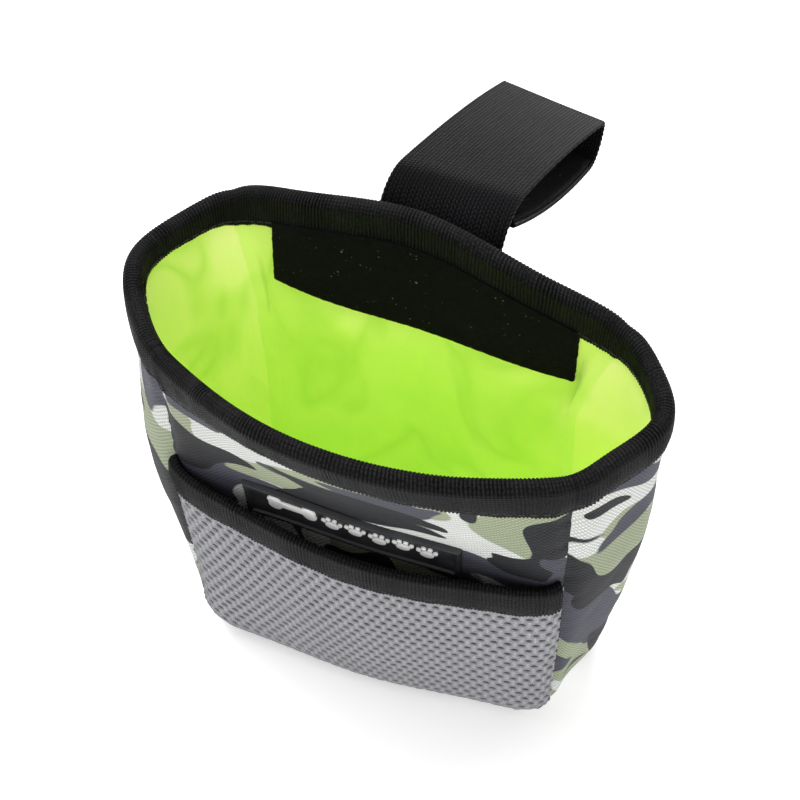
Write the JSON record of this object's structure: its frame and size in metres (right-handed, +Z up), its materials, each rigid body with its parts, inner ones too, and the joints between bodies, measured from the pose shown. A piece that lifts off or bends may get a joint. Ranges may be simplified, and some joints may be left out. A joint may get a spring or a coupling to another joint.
{
  "type": "treat pouch",
  "caption": "Open-topped fabric treat pouch with bound rim, bright lining, mesh front pocket, hook-and-loop mouth closure and webbing belt loop.",
  "frame": {"origin": "centre of the base, on the underside of the gusset", "axes": "+Z up; -Y is the front with the mesh pocket; +Y is the back with the belt loop; X runs along the width of the mouth"},
  "size_m": [0.1616, 0.1965, 0.1668],
  "materials": {
    "camo_canvas": "plain-weave printed polyester canvas",
    "foam": "soft closed-cell foam sheet",
    "lining": "thin bright nylon, slight sheen",
    "ribbon": "ribbed grosgrain ribbon, slight sheen",
    "mesh": "spacer mesh",
    "label_rubber": "matte moulded rubber",
    "motif_rubber": "raised white rubber",
    "loop_tape": "fuzzy loop tape",
    "hook_tape": "woven nylon hooks",
    "webbing": "ribbed nylon webbing"
  },
  "bodies": {
    "pouch_body": {"back_panel": "camo_canvas", "back_foam": "foam", "back_lining": "lining", "rim_binding_back": "ribbon", "gusset": "camo_canvas", "gusset_foam": "foam", "gusset_lining": "lining", "rim_binding_left": "ribbon", "rim_binding_right": "ribbon", "closure_loop_tape": "loop_tape", "strap_anchor": "webbing"},
    "front_wall": {"front_panel": "camo_canvas", "front_foam": "foam", "front_lining": "lining", "rim_binding_front": "ribbon", "mesh_pocket": "mesh", "pocket_binding": "ribbon", "label_patch": "label_rubber", "label_motif": "motif_rubber", "closure_hook_tape": "hook_tape"},
    "strap_loop": {"strap_upper": "webbing", "strap_hook_tape": "hook_tape"},
    "strap_tongue": {"strap_lower": "webbing", "strap_loop_tape": "loop_tape"}
  },
  "joints": [
    {"name": "mouth_close", "type": "hinge", "parent": "pouch_body", "child": "front_wall", "pos_m": [0, -0.025, 0.0006], "axis": [-1, 0, 0], "range_deg": [0, 16], "deforming": ["gusset", "gusset_foam", "gusset_lining", "rim_binding_left", "rim_binding_right"]},
    {"name": "strap_swing", "type": "hinge", "parent": "pouch_body", "child": "strap_loop", "pos_m": [0.003, 0.0341, 0.15], "axis": [0.9962, -0.0872, 0], "range_deg": [-50, 18]},
    {"name": "strap_open", "type": "hinge", "parent": "strap_loop", "child": "strap_tongue", "pos_m": [0.01251, 0.14275, 0.11236], "axis": [0.9962, -0.0872, 0], "range_deg": [0, 150]}
  ]
}
